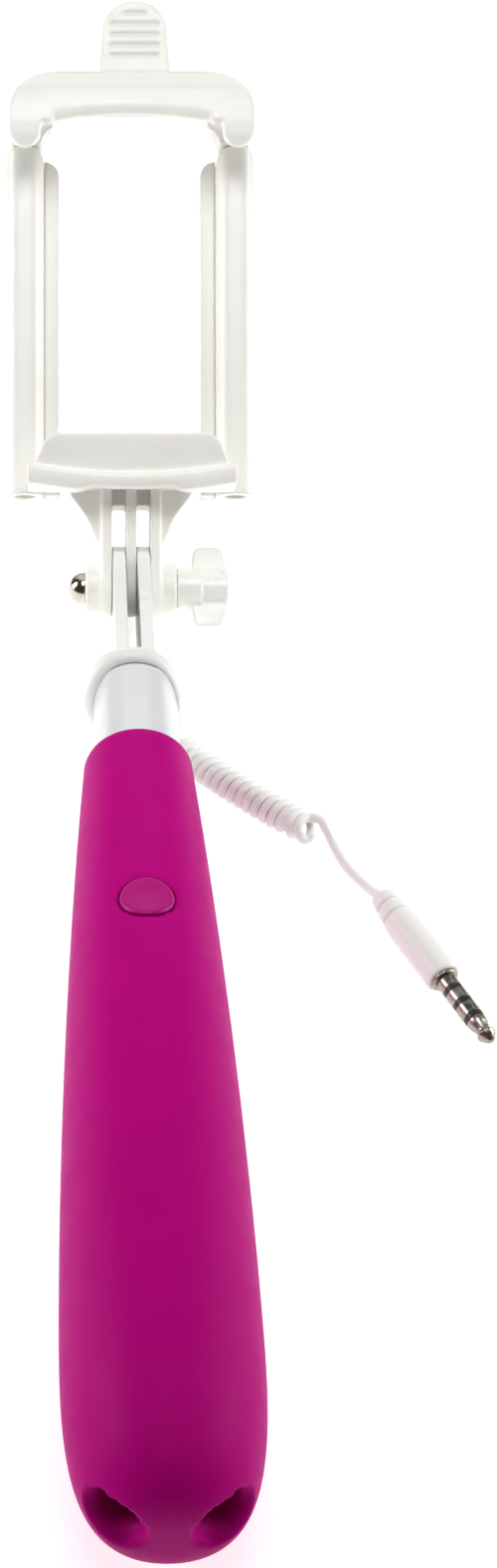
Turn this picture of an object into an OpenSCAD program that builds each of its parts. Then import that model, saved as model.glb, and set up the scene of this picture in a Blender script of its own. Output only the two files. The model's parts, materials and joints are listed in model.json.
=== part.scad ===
// Wired selfie stick: a rounded grip, a telescoping pole, a spring-loaded phone holder on a
// three-prong hinge, and a short curly lead with a 3.5 mm plug.
// It lies on a table (Z = 0) on the flat under its grip. The origin is on that flat, below the
// middle of the grip. The pole points along +Y and dips by the lean, and +X is to the right.

/* [Grip] */
// Length of the grip
grip_len = 145; // [135:1:155]
// Largest radius of the grip
grip_max_r = 13.65; // [13.3:0.05:13.9]
// Radius of the grip at its front rim
grip_rim_r = 9.55; // [9.4:0.05:10.2]
// Distance from the butt to the widest place
belly_at = 36; // [32:1:40]
// Thickness of the soft skin
skin_t = 1.8; // [1.7:0.05:1.9]
// Radius of the passage for a wrist strap
strap_r = 2.7; // [2.6:0.1:2.8]
// Diameter of the shutter button
button_d = 8.6; // [8:0.1:9]
// Distance from the butt to the shutter button
button_at = 100; // [98:1:102]

/* [Lay] */
// Height of the pole's axis above the table at the middle of the grip
axis_h = 12.25; // [12.2:0.05:12.4]
// How much the axis drops for each millimetre towards the holder
dip = 0.03; // [0.029:0.0005:0.0305]

/* [Pole] */
// Outer radius of the white neck sleeve
neck_r = 7.8; // [7.7:0.05:7.9]
// Distance from the butt to the neck's front face
neck_end = 165.3; // [164:0.1:166]
// Outer radius of the fixed tube
tube_r = 6.5; // [6.5:0.1:6.5]
// Wall of every tube
tube_t = 0.4; // [0.3:0.05:0.4]
// How much smaller each tube's radius is than the one around it
stage_step = 0.8; // [0.75:0.01:0.82]

/* [Head] */
// Radius of the head's flange
flange_r = 9.4; // [9.2:0.05:9.4]
// Distance from the butt to the clamp bolt
hinge_at = 199.3; // [198:0.1:201]
// Radius of the head's prongs around the bolt
prong_r = 8.4; // [8:0.1:8.4]
// Thickness of the head's prongs
head_prong_t = 2.5; // [2.3:0.05:2.5]

/* [Holder] */
// Angle of the holder above the pole's axis
holder_tilt = 47.7; // [40:0.1:60]
// Width over the two side rails
holder_w = 50; // [49:0.1:51]
// Distance from the bolt to the lower end of the rails
rail_from = 18.7; // [18.4:0.1:18.8]
// Distance from the bolt to the upper end of the rails
rail_to = 88.2; // [87.5:0.1:88.6]
// Width of a rail
rail_w = 7.7; // [7.5:0.1:7.9]
// Depth of a rail, front to back
rail_d = 9; // [8.6:0.1:9.2]
// Distance between neighbouring prongs of the holder
prong_pitch = 4.8; // [4.8:0.05:4.9]
// Thickness of the holder's prongs
prong_t = 2.1; // [2:0.05:2.1]

/* [Clamp] */
// Radius of the clamp bolt
bolt_r = 1.95; // [1.9:0.01:1.97]
// Span of the wing knob
knob_span = 16.4; // [15:0.2:16.6]
// Angle of the wings from the holder's face
knob_turn = -12; // [-30:1:30]

/* [Cord] */
// Diameter of the cord
cord_d = 1.8; // [1.6:0.1:1.8]
// Outer diameter of the curly stretch
curl_d = 6.2; // [5.8:0.1:6.2]
// Radius of the plug's shaft
plug_r = 1.75; // [1.75:0.01:1.75]

/* [Hidden] */
$fn = 64;
EPS = 0.01;
BIG = 300;

// lay of the whole stick
lean = atan(dip);
// outline of the grip
BUTT_POWER = 3.65;
TAPER_POWER = 1.78;
BUTT_STEPS = 14;
TAPER_STEPS = 20;
RIM_ROUND = 1.4;
// inside of the grip
cavity_from = 12;
core_end = 132;
sleeve_from = 121;
core_t = 1.6;
strap_ring_r = 7;
strap_up = 2.4;
strap_at = 0.6;
mouth_x = 7.2;
mouth_up = 2.3;
mouth_at = 0.8;
mouth_half = 2;
mouth_r = 3.3;
mouth_slant = 20;
mouth_turn = 30;
// button and switch, as heights above the pole's axis
button_r = button_d / 2;
button_gap = 0.15;
button_proud = 0.35;
lip_r = button_r + 0.9;
board_z = 6.75;
board_t = 0.8;
board_w = 7.6;
board_l = 12;
board_back = 9;
switch_h = 1.5;
plunger_r = 0.9;
press_travel = 0.5;
plunger_up = press_travel + 0.2;
switch_top = board_z + board_t + switch_h;
lip_z = switch_top + plunger_up;
lip_t = 0.6;
pocket_z = lip_z + lip_t + 0.25;
// pole
STAGES = 4;
mouth_len = 6;
bush_len = 8;
stage_rear = 16;
stage_stagger = 2;
running = 0.05;
tube_end = neck_end - 0.3;
socket_end = 171.2;
lead_r = 2.2;
// head
face_gap = 0.2;
flange_from = neck_end + face_gap;
flange_t = 2.6;
flange_to = flange_from + flange_t;
dome_to = 172;
flange_x = -0.5;
skirt_from = 161.6;
skirt_r = neck_r + 0.3;
skirt_top = 1.5;
lug_r = 1.6;
pin_r = 0.75;
pin_at = 169.8;
gland_x = 7.4;
gland_z = -6.3;
gland_len = 1.9;
// hinge
hole_r = bolt_r + 0.08;
knuckle_r = 5.7;
boss_r = 5.4;
prong_out = prong_pitch + prong_t / 2;
boss_out = 9;
web_from = 16.2;
nut_flats = 7;
nut_pocket = 2.6;
dome_r = 3.25;
dome_len = 3.5;
knob_from = boss_out + 0.1;
knob_to = 19.3;
knob_r = 4.05;
wing_from = 12;
wing_t = 2.8;
// holder
rail_x = (holder_w - rail_w) / 2;
rail_z = -3;
rail_round = 3;
rail_bore_r = 2.1;
flange_in = 14.3;
cover_t = 1.6;
shelf_half = 20.3;
shelf_low = 19;
shelf_top = 21.6;
shelf_front = 13.2;
shelf_back = rail_z - rail_d / 2;
lip_front = 11;
lip_top = 29;
lip_wall = 2;
lip_foot_half = 19.2;
lip_half = 17.8;
pad_t = 1.2;
rod_r = 1.25;
rod_from = 30;
foot_t = 2;
mouth_bush_t = 4;
spring_wire = 0.5;
spring_mean_r = 1.7;
SPRING_TURNS = 12;
SPRING_STEPS = 8;
bracket_half = 23.9;
bracket_low = 88.5;
bar_low = 92;
foot_low = 85;
bar_top = 101.1;
leg_in = 17.8;
slot_back = 1.8;
slot_front = 9;
slot_top = 95.3;
bend_in = 15.4;
tab_top = 115.4;
tab_half = 7.3;
tab_x = 0.7;
tab_back = 2.4;
tab_t = 3.8;
// cord: the route lies on the table, in millimetres
CURL = [
    [8.9, 84.6, 3.1], [10.3, 82.5, 3.1], [12.6, 80.1, 3.1], [15.1, 77.6, 3.1], [17.6, 75.1, 3.1],
    [20.3, 72.6, 3.1], [23.1, 70, 3.1], [25.9, 67.6, 3.1], [28.1, 65.8, 3.1], [30, 64.3, 3.1]
];
ENTRY = [[7.4, 87.2, 3.3], [7.5, 86.6, 3.25], [7.8, 86, 3.2], [8.2, 85.4, 3.15], [8.6, 84.9, 3.1], [8.88, 84.63, 3.1]];
TAIL = [
    [31, 65.55, 4.6], [31.4, 65.25, 4.7], [31.9, 65, 4.75], [32.5, 64.6, 4.6], [33, 63.9, 4],
    [33.6, 63.1, 3.1], [34.4, 61.8, 1.9], [35.2, 60, 1.15], [35.9, 58.2, 0.95], [36.6, 56.5, 0.95],
    [37.3, 55.1, 1], [38, 53.7, 1.15], [38.8, 52.1, 1.5], [39.5, 50.5, 2], [40.1, 49, 2.55],
    [40.8, 48.1, 2.95], [41.35, 47.3, 3.1]
];
PLUG_AT = [41.35, 47.3, 3.1];
plug_turn = -66.6;
boot_len = 6.2;
body_to = 20;
collar_to = 20.6;
body_r = 3.05;
// stations along the plug's shaft: sleeve, two rings and the tip, with a band between each
SHAFT = [20.6, 22.6, 23.5, 25.6, 26.5, 28.8, 29.7, 34.6];

// ---------- helpers ----------

// From the pole's own frame (Y along the pole from the butt, Z up from its axis) to the table
module laid() {
    rotate([-lean, 0, 0]) translate([0, -grip_len / 2, axis_h]) children();
}

// From the holder's own frame (Y up the holder from the bolt, Z out of its face)
module on_holder() {
    laid() translate([0, hinge_at, 0]) rotate([holder_tilt, 0, 0]) children();
}

// A shape drawn along +Z, turned to run along +Y
module along_y() {
    rotate([-90, 0, 0]) children();
}

// A ring or a tube along +Y
module ring_y(from, to, r_out, r_in) {
    translate([0, from, 0]) along_y() difference() {
        cylinder(r = r_out, h = to - from);
        translate([0, 0, -EPS]) cylinder(r = r_in, h = to - from + 2 * EPS);
    }
}

// A rod along +X
module rod_x(from, to, r) {
    translate([from, 0, 0]) rotate([0, 90, 0]) cylinder(r = r, h = to - from);
}

// A flat shape in the Y-Z plane, given its thickness along +X
module plate_x(from, to) {
    translate([from, 0, 0]) rotate([90, 0, 90]) linear_extrude(to - from) children();
}

// A rectangle with rounded corners, from its lowest corner
module soft_rect(x, y, r) {
    translate([r, 0]) square([x - 2 * r, y]);
    translate([0, r]) square([x, y - 2 * r]);
    for (cx = [r, x - r], cy = [r, y - r]) translate([cx, cy]) circle(r = r);
}

function arc(cx, cy, r, a0, a1, n) =
    [for (i = [0:n]) let(a = a0 + (a1 - a0) * i / n) [cx + r * cos(a), cy + r * sin(a)]];

// Radius of the grip at a distance from its butt
function butt_r(s) = grip_max_r * pow(1 - pow((belly_at - s) / belly_at, BUTT_POWER), 1 / BUTT_POWER);
function taper_r(s) =
    grip_max_r - (grip_max_r - grip_rim_r) * pow((s - belly_at) / (grip_len - belly_at), TAPER_POWER);
function grip_r(s) = s < belly_at ? butt_r(s) : taper_r(s);

// Stations along the grip, closer together near the butt
butt_stations = [for (i = [0:BUTT_STEPS]) belly_at * pow(i / BUTT_STEPS, 2)];
taper_stations = [for (i = [1:TAPER_STEPS]) belly_at + (grip_len - RIM_ROUND - belly_at) * i / TAPER_STEPS];
stations = concat(butt_stations, taper_stations);

// The grip's outline, grown by a distance and with its rim rounded
function grip_outline(grow) = concat(
    [for (s = stations) [grip_r(s) + grow, s]],
    arc(grip_rim_r + grow - RIM_ROUND + 0.05, grip_len - RIM_ROUND, RIM_ROUND, 15, 90, 4)
);

module grip_solid(grow) {
    along_y() rotate_extrude() polygon(concat([[0, 0]], grip_outline(grow), [[0, grip_len]]));
}

// Tube swept along points: rings of n corners, closed at both ends
function unit(v) = v / norm(v);
function heading(p, i) = unit(p[min(i + 1, len(p) - 1)] - p[max(i - 1, 0)]);
function sweep_points(p, r, n) = [
    for (i = [0:len(p) - 1])
        let(t = heading(p, i), side = unit(cross([0, 0, 1], t)), up = cross(t, side))
        for (k = [0:n - 1]) p[i] + r * cos((k + 0.5) * 360 / n) * side + r * sin((k + 0.5) * 360 / n) * up
];
function sweep_faces(rings, n) = concat(
    [[for (k = [0:n - 1]) k]],
    [for (i = [0:rings - 2]) for (k = [0:n - 1]) for (half = [0, 1])
        let(a = i * n + k, b = a + n, c = (i + 1) * n + (k + 1) % n, d = i * n + (k + 1) % n)
        half == 0 ? [a, b, c] : [a, c, d]],
    [[for (k = [n - 1:-1:0]) (rings - 1) * n + k]]
);

module sweep(p, r, n) {
    polyhedron(sweep_points(p, r, n), sweep_faces(len(p), n), convexity = 10);
}

// ---------- grip ----------

// Each mouth of the strap's passage is a slanted oval dish, higher on its outer side
module strap_passage() {
    translate([0, strap_at, strap_up]) rotate_extrude() translate([strap_ring_r, 0]) circle(r = strap_r);
    for (m = [0, 1]) mirror([m, 0, 0]) translate([mouth_x, mouth_at, mouth_up]) rotate([0, -mouth_slant, mouth_turn]) {
        for (end = [-1, 1]) translate([end * mouth_half, 0, 0]) sphere(r = mouth_r);
        rod_x(-mouth_half, mouth_half, mouth_r);
    }
}

function skin_inside() = [
    for (s = stations) if (s > cavity_from && s < core_end) [grip_r(s) - skin_t, s]
];

module grip_skin() {
    color([0.72, 0.02, 0.47]) difference() {
        laid() difference() {
            grip_solid(0);
            along_y() rotate_extrude() polygon(concat(
                [[0, cavity_from], [grip_r(cavity_from) - skin_t, cavity_from]],
                skin_inside(),
                [[grip_r(core_end) - skin_t, core_end], [neck_r, core_end]],
                [[neck_r, grip_len + 1], [0, grip_len + 1]]
            ));
            strap_passage();
            translate([0, button_at, 0]) cylinder(r = button_r + button_gap, h = grip_max_r + 1);
            translate([0, button_at, 0]) cylinder(r = lip_r + button_gap, h = pocket_z);
        }
        translate([-BIG / 2, -BIG / 2, -BIG]) cube([BIG, BIG, BIG]);
    }
}

module grip_core() {
    ledge_x = 3.5;
    ledge_w = 3;
    ledge_t = 0.75;
    color([0.85, 0.85, 0.84]) laid() for (m = [0, 1]) mirror([m, 0, 0])
        translate([ledge_x, button_at - board_back, board_z - ledge_t]) cube([ledge_w, board_l, ledge_t]);
    color([0.85, 0.85, 0.84]) laid() difference() {
        along_y() rotate_extrude() polygon(concat(
            [[grip_r(cavity_from) - skin_t, cavity_from]],
            skin_inside(),
            [[grip_r(core_end) - skin_t, core_end], [neck_r, core_end], [neck_r, sleeve_from]],
            [for (i = [len(stations) - 1:-1:0]) let(s = stations[i])
                if (s > cavity_from && s < sleeve_from - 4) [grip_r(s) - skin_t - core_t, s]],
            [[grip_r(cavity_from) - skin_t - core_t, cavity_from]]
        ));
        translate([0, button_at, 0]) cylinder(r = lip_r + 2 * button_gap, h = grip_max_r);
    }
}

module core_end_plug() {
    plug_out = grip_r(cavity_from) - skin_t - core_t - 0.02;
    color([0.8, 0.8, 0.8]) laid() difference() {
        translate([0, cavity_from + 0.1, 0]) along_y() cylinder(r = plug_out, h = 6);
        translate([0, cavity_from + 2.5, 0]) along_y() cylinder(r = tube_r, h = 6);
        translate([0, cavity_from - 1, 0]) along_y() cylinder(r = lead_r, h = 6);
        translate([-lead_r / 2, cavity_from - 1, 0]) cube([lead_r, 10, plug_out + 1]);
    }
}

module shutter_button() {
    color([0.6, 0.01, 0.38]) laid() {
        translate([0, button_at, lip_z]) cylinder(r = lip_r, h = lip_t);
        intersection() {
            translate([0, button_at, lip_z + lip_t - EPS]) cylinder(r = button_r, h = grip_max_r);
            grip_solid(button_proud);
        }
    }
}

module switch_plunger() {
    color([0.1, 0.1, 0.1]) laid() translate([0, button_at, switch_top - 0.5])
        cylinder(r = plunger_r, h = lip_z - switch_top + 0.5);
}

module tact_switch() {
    side = 4.5;
    well = 1.1;
    color([0.75, 0.75, 0.77]) laid() difference() {
        translate([-side / 2, button_at - side / 2, switch_top - switch_h]) cube([side, side, switch_h]);
        translate([0, button_at, switch_top - well]) cylinder(r = plunger_r + running, h = well + 1);
    }
}

module switch_board() {
    color([0.05, 0.35, 0.15]) laid()
        translate([-board_w / 2, button_at - board_back, board_z]) cube([board_w, board_l, board_t]);
}

module switch_lead() {
    lead_z = 7.3;
    wire_r = 0.6;
    run = [
        [0, button_at - board_back - 0.02, lead_z], [0, 80, lead_z], [0, 60, lead_z], [0, 40, lead_z],
        [0, 26, lead_z], [0, 18, lead_z], [0, 14.7, lead_z], [0, 13.4, 6.7], [0, 12.9, 5.2],
        [0, 12.9, 3.6], [0, 13.2, 1.8], [0, 14.2, 0.5], [0, 16, 0], [0, 20, 0]
    ];
    color([0.9, 0.9, 0.9]) laid() sweep(run, wire_r, 8);
}

// ---------- pole ----------

module neck_sleeve() {
    round_r = 0.5;
    color([0.95, 0.95, 0.96]) laid() along_y() rotate_extrude() polygon(concat(
        [[tube_r, sleeve_from], [neck_r, sleeve_from]],
        arc(neck_r - round_r, neck_end - round_r, round_r, 0, 90, 4),
        [[tube_r, neck_end]]
    ));
}

// A tube with its mouth rolled in to guide the next one
module pole_tube(from, to, r) {
    inner = r - tube_t;
    mouth = r - stage_step + running;
    laid() along_y() rotate_extrude() polygon([
        [inner, from], [r, from], [r, to], [mouth, to],
        [mouth, to - mouth_len], [inner, to - mouth_len - 0.4]
    ]);
}

module plain_tube(from, to, r) {
    laid() ring_y(from, to, r, r - tube_t);
}

function stage_r(i) = tube_r - stage_step * i;
function stage_from(i) = stage_rear + stage_stagger * i;

module outer_tube() {
    color([0.75, 0.76, 0.78]) pole_tube(cavity_from + 2.6, tube_end, tube_r);
}

// Stages are counted from the grip. The last one ends in the head.
module stage_tube(i) {
    color([0.8, 0.81, 0.83]) {
        if (i < STAGES) pole_tube(stage_from(i), tube_end, stage_r(i));
        else plain_tube(stage_from(i), socket_end, stage_r(i));
    }
}

// Friction bush on the rear end of a stage
module stage_bush(i) {
    outside = stage_r(i - 1) - tube_t - running;
    color([0.2, 0.2, 0.22]) laid() {
        ring_y(stage_from(i), stage_from(i) + bush_len, outside, stage_r(i));
    }
}

module pole_lead() {
    color([0.9, 0.9, 0.88]) laid() translate([0, stage_from(STAGES) + 2, 0]) along_y()
        cylinder(r = lead_r, h = socket_end - stage_from(STAGES) - 2);
}

// ---------- head ----------

module head_prong_outline() {
    circle(r = prong_r);
    translate([flange_to - hinge_at - EPS, -prong_r]) square([hinge_at - flange_to, 2 * prong_r]);
}

// The lower half of the flange reaches back under the neck, where the cord comes out
module head_skirt() {
    difference() {
        translate([flange_x, skirt_from, 0]) along_y() cylinder(r1 = flange_r - 0.6, r2 = flange_r, h = 0.6);
        skirt_cut();
    }
    difference() {
        translate([flange_x, skirt_from + 0.6, 0]) along_y() cylinder(r = flange_r, h = flange_from - skirt_from);
        skirt_cut();
    }
}

module skirt_cut() {
    translate([0, skirt_from - 1, 0]) along_y() cylinder(r = skirt_r, h = flange_from - skirt_from + 1);
    translate([-BIG / 2, skirt_from - 1, skirt_top]) cube([BIG, flange_from - skirt_from + 1, BIG]);
}

module head_cap() {
    prong_in = prong_pitch / 2 - head_prong_t / 2;
    socket = stage_r(STAGES);
    color([0.96, 0.96, 0.95]) laid() difference() {
        union() {
            translate([flange_x, 0, 0]) along_y() rotate_extrude() polygon([
                [0, flange_from], [flange_r - 0.3, flange_from], [flange_r, flange_from + 0.3],
                [flange_r, 166.6], [9.1, 167.8], [8.5, 169.1], [7.2, 170.3], [5.7, 171.3],
                [4, dome_to], [0, dome_to]
            ]);
            head_skirt();
            for (side = [-1, 1]) {
                near = side > 0 ? prong_in : -prong_in - head_prong_t;
                translate([0, hinge_at, 0]) plate_x(near, near + head_prong_t) head_prong_outline();
            }
            translate([gland_x, skirt_from, gland_z]) along_y() cylinder(r = lug_r, h = flange_to - skirt_from);
        }
        translate([0, flange_from - 1, 0]) along_y() cylinder(r = socket, h = socket_end - flange_from + 1);
        translate([0, hinge_at, 0]) rod_x(-prong_pitch, prong_pitch, hole_r);
        translate([0, pin_at, 0]) rod_x(-prong_r, prong_r, pin_r);
        translate([gland_x, skirt_from - 1, gland_z]) along_y() cylinder(r = 1.1, h = 3);
    }
}

module head_pin() {
    half = 6.4;
    difference() {
        color([0.7, 0.7, 0.72]) laid() translate([0, pin_at, 0]) rod_x(-half, half, pin_r);
        laid() translate([0, pin_at, 0]) rod_x(-stage_r(STAGES), stage_r(STAGES), pin_r + 1);
    }
}

module cord_gland() {
    shank = 1.9;
    color([0.94, 0.93, 0.92]) laid() translate([gland_x, skirt_from, gland_z]) {
        rotate([90, 0, 0]) cylinder(r1 = 1.4, r2 = 1.1, h = gland_len);
        along_y() cylinder(r = 1.1, h = shank);
    }
}

// ---------- cord and plug ----------

module cord_entry() {
    color([0.95, 0.94, 0.93]) sweep(ENTRY, cord_d / 2, 8);
}

module curly_cord() {
    color([0.95, 0.94, 0.93]) sweep(CURL, curl_d / 2, 16);
}

module cord_tail() {
    color([0.95, 0.94, 0.93]) sweep(TAIL, cord_d / 2, 8);
}

// A turned piece on the plug's axis: outline as radius and distance from the cord
module plug_turned(outline) {
    translate(PLUG_AT) rotate([0, 90, plug_turn]) rotate_extrude() polygon(outline);
}

module plug_body() {
    boot_r = 2.2;
    groove = 0.4;
    color([0.95, 0.94, 0.93]) plug_turned([
        [0, 0], [boot_r - 0.2, 0], [boot_r, 0.4], [boot_r + 0.15, 2.1],
        [boot_r + 0.15 - groove, 2.3], [boot_r + 0.2 - groove, 2.8], [boot_r + 0.3, 3],
        [boot_r + 0.45, 4.8], [boot_r + 0.45 - groove, 5], [boot_r + 0.5 - groove, 5.5],
        [boot_r + 0.6, 5.7], [2.85, boot_len + 0.3], [2.95, boot_len + 1], [body_r, boot_len + 2],
        [body_r, body_to - 0.5], [body_r - 0.4, body_to], [0, body_to]
    ]);
}

module plug_collar() {
    color([0.7, 0.7, 0.72]) plug_turned([
        [0, body_to], [2.3, body_to], [2.4, body_to + 0.1], [2.4, collar_to - 0.15],
        [2.25, collar_to], [0, collar_to]
    ]);
}

module plug_band(from, to) {
    translate(PLUG_AT) rotate([0, 90, plug_turn]) translate([0, 0, from]) cylinder(r = plug_r, h = to - from);
}

module plug_sleeve() {
    color([0.72, 0.72, 0.74]) plug_band(SHAFT[0], SHAFT[1]);
}

module plug_rings() {
    color([0.72, 0.72, 0.74]) for (i = [2, 4]) plug_band(SHAFT[i], SHAFT[i + 1]);
}

module plug_insulators() {
    color([0.05, 0.05, 0.05]) for (i = [1, 3, 5]) plug_band(SHAFT[i], SHAFT[i + 1]);
}

module plug_tip() {
    color([0.72, 0.72, 0.74]) plug_turned([
        [0, SHAFT[6]], [1.7, SHAFT[6]], [1.6, SHAFT[6] + 0.9], [1.2, SHAFT[6] + 2.4],
        [1.65, SHAFT[6] + 3], [1.5, SHAFT[6] + 3.5], [0.5, SHAFT[7] - 0.1], [0, SHAFT[7]]
    ]);
}

// ---------- holder ----------

module prong_outline() {
    circle(r = knuckle_r);
    polygon([[0, -knuckle_r], [shelf_low + 1, -5], [shelf_low + 1, 5.5], [0, knuckle_r]]);
}

// Gusset beside the prongs, concave on its outer edge
module gusset_outline() {
    polygon([
        [prong_out - EPS, 7.6], [6, 7.8], [6.5, 8.8], [7.1, 9.8], [7.6, 11], [8, 12.4],
        [8.9, 14.2], [10.6, 16.5], [11.9, 18.2], [12.2, shelf_low + 0.5], [prong_out - EPS, shelf_low + 0.5]
    ]);
}

module lip_outline() {
    corner = 4;
    low = shelf_top - 0.5;
    polygon(concat(
        [[lip_foot_half, low], [lip_foot_half, shelf_top + 1.1]],
        arc(lip_half - corner, lip_top - corner, corner, 10, 90, 7),
        arc(corner - lip_half, lip_top - corner, corner, 90, 170, 7),
        [[-lip_foot_half, shelf_top + 1.1], [-lip_foot_half, low]]
    ));
}

// The shelf's section, as distance up the holder and out of its face
module shelf_section() {
    polygon([
        [shelf_low, shelf_back], [20, shelf_front - 0.9], [20.4, shelf_front - 0.2], [21, shelf_front],
        [22.2, shelf_front], [22.7, shelf_front - 0.4], [22.7, shelf_front - 1.5],
        [22, lip_front + 0.3], [shelf_top, lip_front], [shelf_top, shelf_back]
    ]);
}

module lower_jaw() {
    color([0.93, 0.92, 0.88]) on_holder() difference() {
        union() {
            // the shelf runs between the rails, and is wider in front of them
            plate_x(-flange_in, flange_in) shelf_section();
            intersection() {
                plate_x(-shelf_half, shelf_half) shelf_section();
                translate([-BIG / 2, 0, rail_z + rail_d / 2 + 0.02]) cube([BIG, BIG, BIG]);
            }
            translate([0, 0, lip_front - lip_wall]) linear_extrude(lip_wall) lip_outline();
            for (i = [-1:1]) {
                mid = i * prong_pitch;
                plate_x(mid - prong_t / 2, mid + prong_t / 2) prong_outline();
            }
            translate([-prong_out, web_from, -5]) cube([2 * prong_out, shelf_low + 1 - web_from, 8]);
            // the shelf's root, behind the prongs
            plate_x(-flange_in, flange_in) polygon([
                [shelf_low, shelf_back], [shelf_low, -3], [shelf_top, -3], [shelf_top, shelf_back]
            ]);
            for (m = [0, 1]) mirror([m, 0, 0]) {
                translate([0, 0, -1.5]) linear_extrude(3) gusset_outline();
                rod_x(prong_out - EPS, boss_out, boss_r);
            }
        }
        rod_x(-BIG / 2, BIG / 2, hole_r);
        translate([-boss_out - EPS, 0, 0]) rotate([0, 90, 0]) rotate(30)
            cylinder(d = (nut_flats + 0.1) / cos(30), h = nut_pocket, $fn = 6);
    }
}

module lower_pad() {
    half = 13;
    depth = 7;
    color([0.9, 0.9, 0.88]) on_holder() translate([-half, shelf_top, 1.2])
        cube([2 * half, pad_t, depth]);
}

module rail_section() {
    translate([-rail_w / 2, -rail_d / 2]) {
        soft_rect(rail_w, rail_d, rail_round);
        square([rail_w, rail_d / 2]);
    }
}

// A rail stands along the holder, with a bore for the rod and its spring
module rail(side) {
    color([0.95, 0.94, 0.9]) on_holder() translate([side * rail_x, rail_from, rail_z]) difference() {
        intersection() {
            rotate([-90, 0, 0]) mirror([0, 1, 0]) linear_extrude(rail_to - rail_from) rail_section();
            translate([0, 0, -rail_d]) linear_extrude(2 * rail_d)
                translate([-rail_w / 2, -5]) soft_rect(rail_w, rail_to - rail_from + 5, 2.4);
        }
        translate([0, -1, 0]) along_y() cylinder(r = rail_bore_r, h = rail_to - rail_from + 2);
    }
}

module left_rail() {
    rail(-1);
}

module right_rail() {
    rail(1);
}

// Back cover: a thin plate across the foot of the rails, with a flange along each
module back_cover() {
    back = rail_z - rail_d / 2;
    flange_w = rail_x - rail_w / 2 - flange_in;
    color([0.92, 0.91, 0.87]) on_holder() {
        for (m = [0, 1]) mirror([m, 0, 0]) difference() {
            translate([flange_in, rail_from + 0.6, back]) cube([flange_w, rail_to - rail_from - 1.6, 3]);
            translate([flange_in + flange_w, rail_to - 1 - flange_w, back - 1]) difference() {
                translate([-flange_w - 1, 0, 0]) cube([flange_w + 1, flange_w + 1, 5]);
                cylinder(r = flange_w, h = 5);
            }
        }
        translate([-shelf_half, shelf_low, back - cover_t]) cube([2 * shelf_half, 8, cover_t]);
    }
}

module rod_bush(side) {
    color([0.85, 0.85, 0.82]) on_holder() translate([side * rail_x, 0, rail_z])
        ring_y(rail_to - 1 - mouth_bush_t, rail_to - 1, rail_bore_r, rod_r + running);
}

module left_bush() {
    rod_bush(-1);
}

module right_bush() {
    rod_bush(1);
}

// Compression spring between the rod's foot and the bush
module spring(side) {
    low = rod_from + foot_t + spring_wire / 2 + 0.05;
    high = rail_to - 1 - mouth_bush_t - spring_wire / 2 - 0.05;
    steps = SPRING_TURNS * SPRING_STEPS;
    helix = [for (i = [0:steps]) let(a = 360 * i / SPRING_STEPS)
        [spring_mean_r * cos(a), spring_mean_r * sin(a), low + (high - low) * i / steps]];
    color([0.7, 0.7, 0.72]) on_holder() translate([side * rail_x, 0, rail_z]) along_y()
        sweep(helix, spring_wire / 2, 4);
}

module left_spring() {
    spring(-1);
}

module right_spring() {
    spring(1);
}

module acorn_nut() {
    color([0.75, 0.73, 0.7]) on_holder() difference() {
        union() {
            translate([nut_pocket - boss_out - EPS, 0, 0]) rotate([0, -90, 0]) rotate(30)
                cylinder(d = nut_flats / cos(30), h = nut_pocket, $fn = 6);
            translate([-boss_out, 0, 0]) rotate([0, -90, 0]) cylinder(r = dome_r, h = dome_len - dome_r + 0.6);
            intersection() {
                translate([-boss_out - dome_len + dome_r, 0, 0]) sphere(r = dome_r);
                translate([-boss_out - dome_len, -dome_r, -dome_r]) cube([dome_len, 2 * dome_r, 2 * dome_r]);
            }
        }
        rod_x(-boss_out - 1.4, 0, bolt_r + running);
    }
}

// ---------- clamp bolt and knob ----------

module wing_outline() {
    half = knob_span / 2;
    polygon([
        [wing_from, 2.6], [12.4, half - 0.8], [13.2, half], [17.4, half], [18.2, half - 0.8],
        [knob_to, 2.6], [knob_to, -2.6], [18.2, 0.8 - half], [17.4, -half], [13.2, -half],
        [12.4, 0.8 - half], [wing_from, -2.6]
    ]);
}

module wing_knob() {
    color([0.93, 0.93, 0.9]) on_holder() rotate([knob_turn, 0, 0]) difference() {
        union() {
            rod_x(knob_from, 14, knob_r);
            rod_x(12, knob_to, 3.4);
            translate([0, 0, -wing_t / 2]) linear_extrude(wing_t) wing_outline();
        }
        rod_x(0, knob_to - 3, bolt_r);
        rod_x(13, knob_to - 3, 2.9);
    }
}

module clamp_bolt() {
    color([0.7, 0.7, 0.72]) on_holder() {
        rod_x(-boss_out - 1, 13, bolt_r);
        rod_x(13, knob_to - 3, 2.9);
    }
}

// ---------- upper bracket ----------

function oval(cx, cy, rx, ry, a0, a1, n) =
    [for (i = [0:n]) let(a = a0 + (a1 - a0) * i / n) [cx + rx * cos(a), cy + ry * sin(a)]];

// Front view: a bar whose ends bend down into a leg with a rounded foot
module bracket_front() {
    wide = 11;
    tall = 9.5;
    inner = 3.4;
    foot = 2.9;
    polygon(concat(
        arc(bracket_half - foot, foot_low + foot, foot, -90, 0, 5),
        oval(bracket_half - wide, bar_top - tall, wide, tall, 0, 90, 9),
        oval(wide - bracket_half, bar_top - tall, wide, tall, 90, 180, 9),
        arc(foot - bracket_half, foot_low + foot, foot, 180, 270, 5),
        arc(-leg_in - foot, foot_low + foot, foot, -80, 0, 5),
        arc(inner - leg_in, bar_low - inner, inner, 180, 90, 4),
        arc(leg_in - inner, bar_low - inner, inner, 90, 0, 4),
        arc(leg_in + foot, foot_low + foot, foot, 180, 260, 5)
    ));
}

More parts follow.
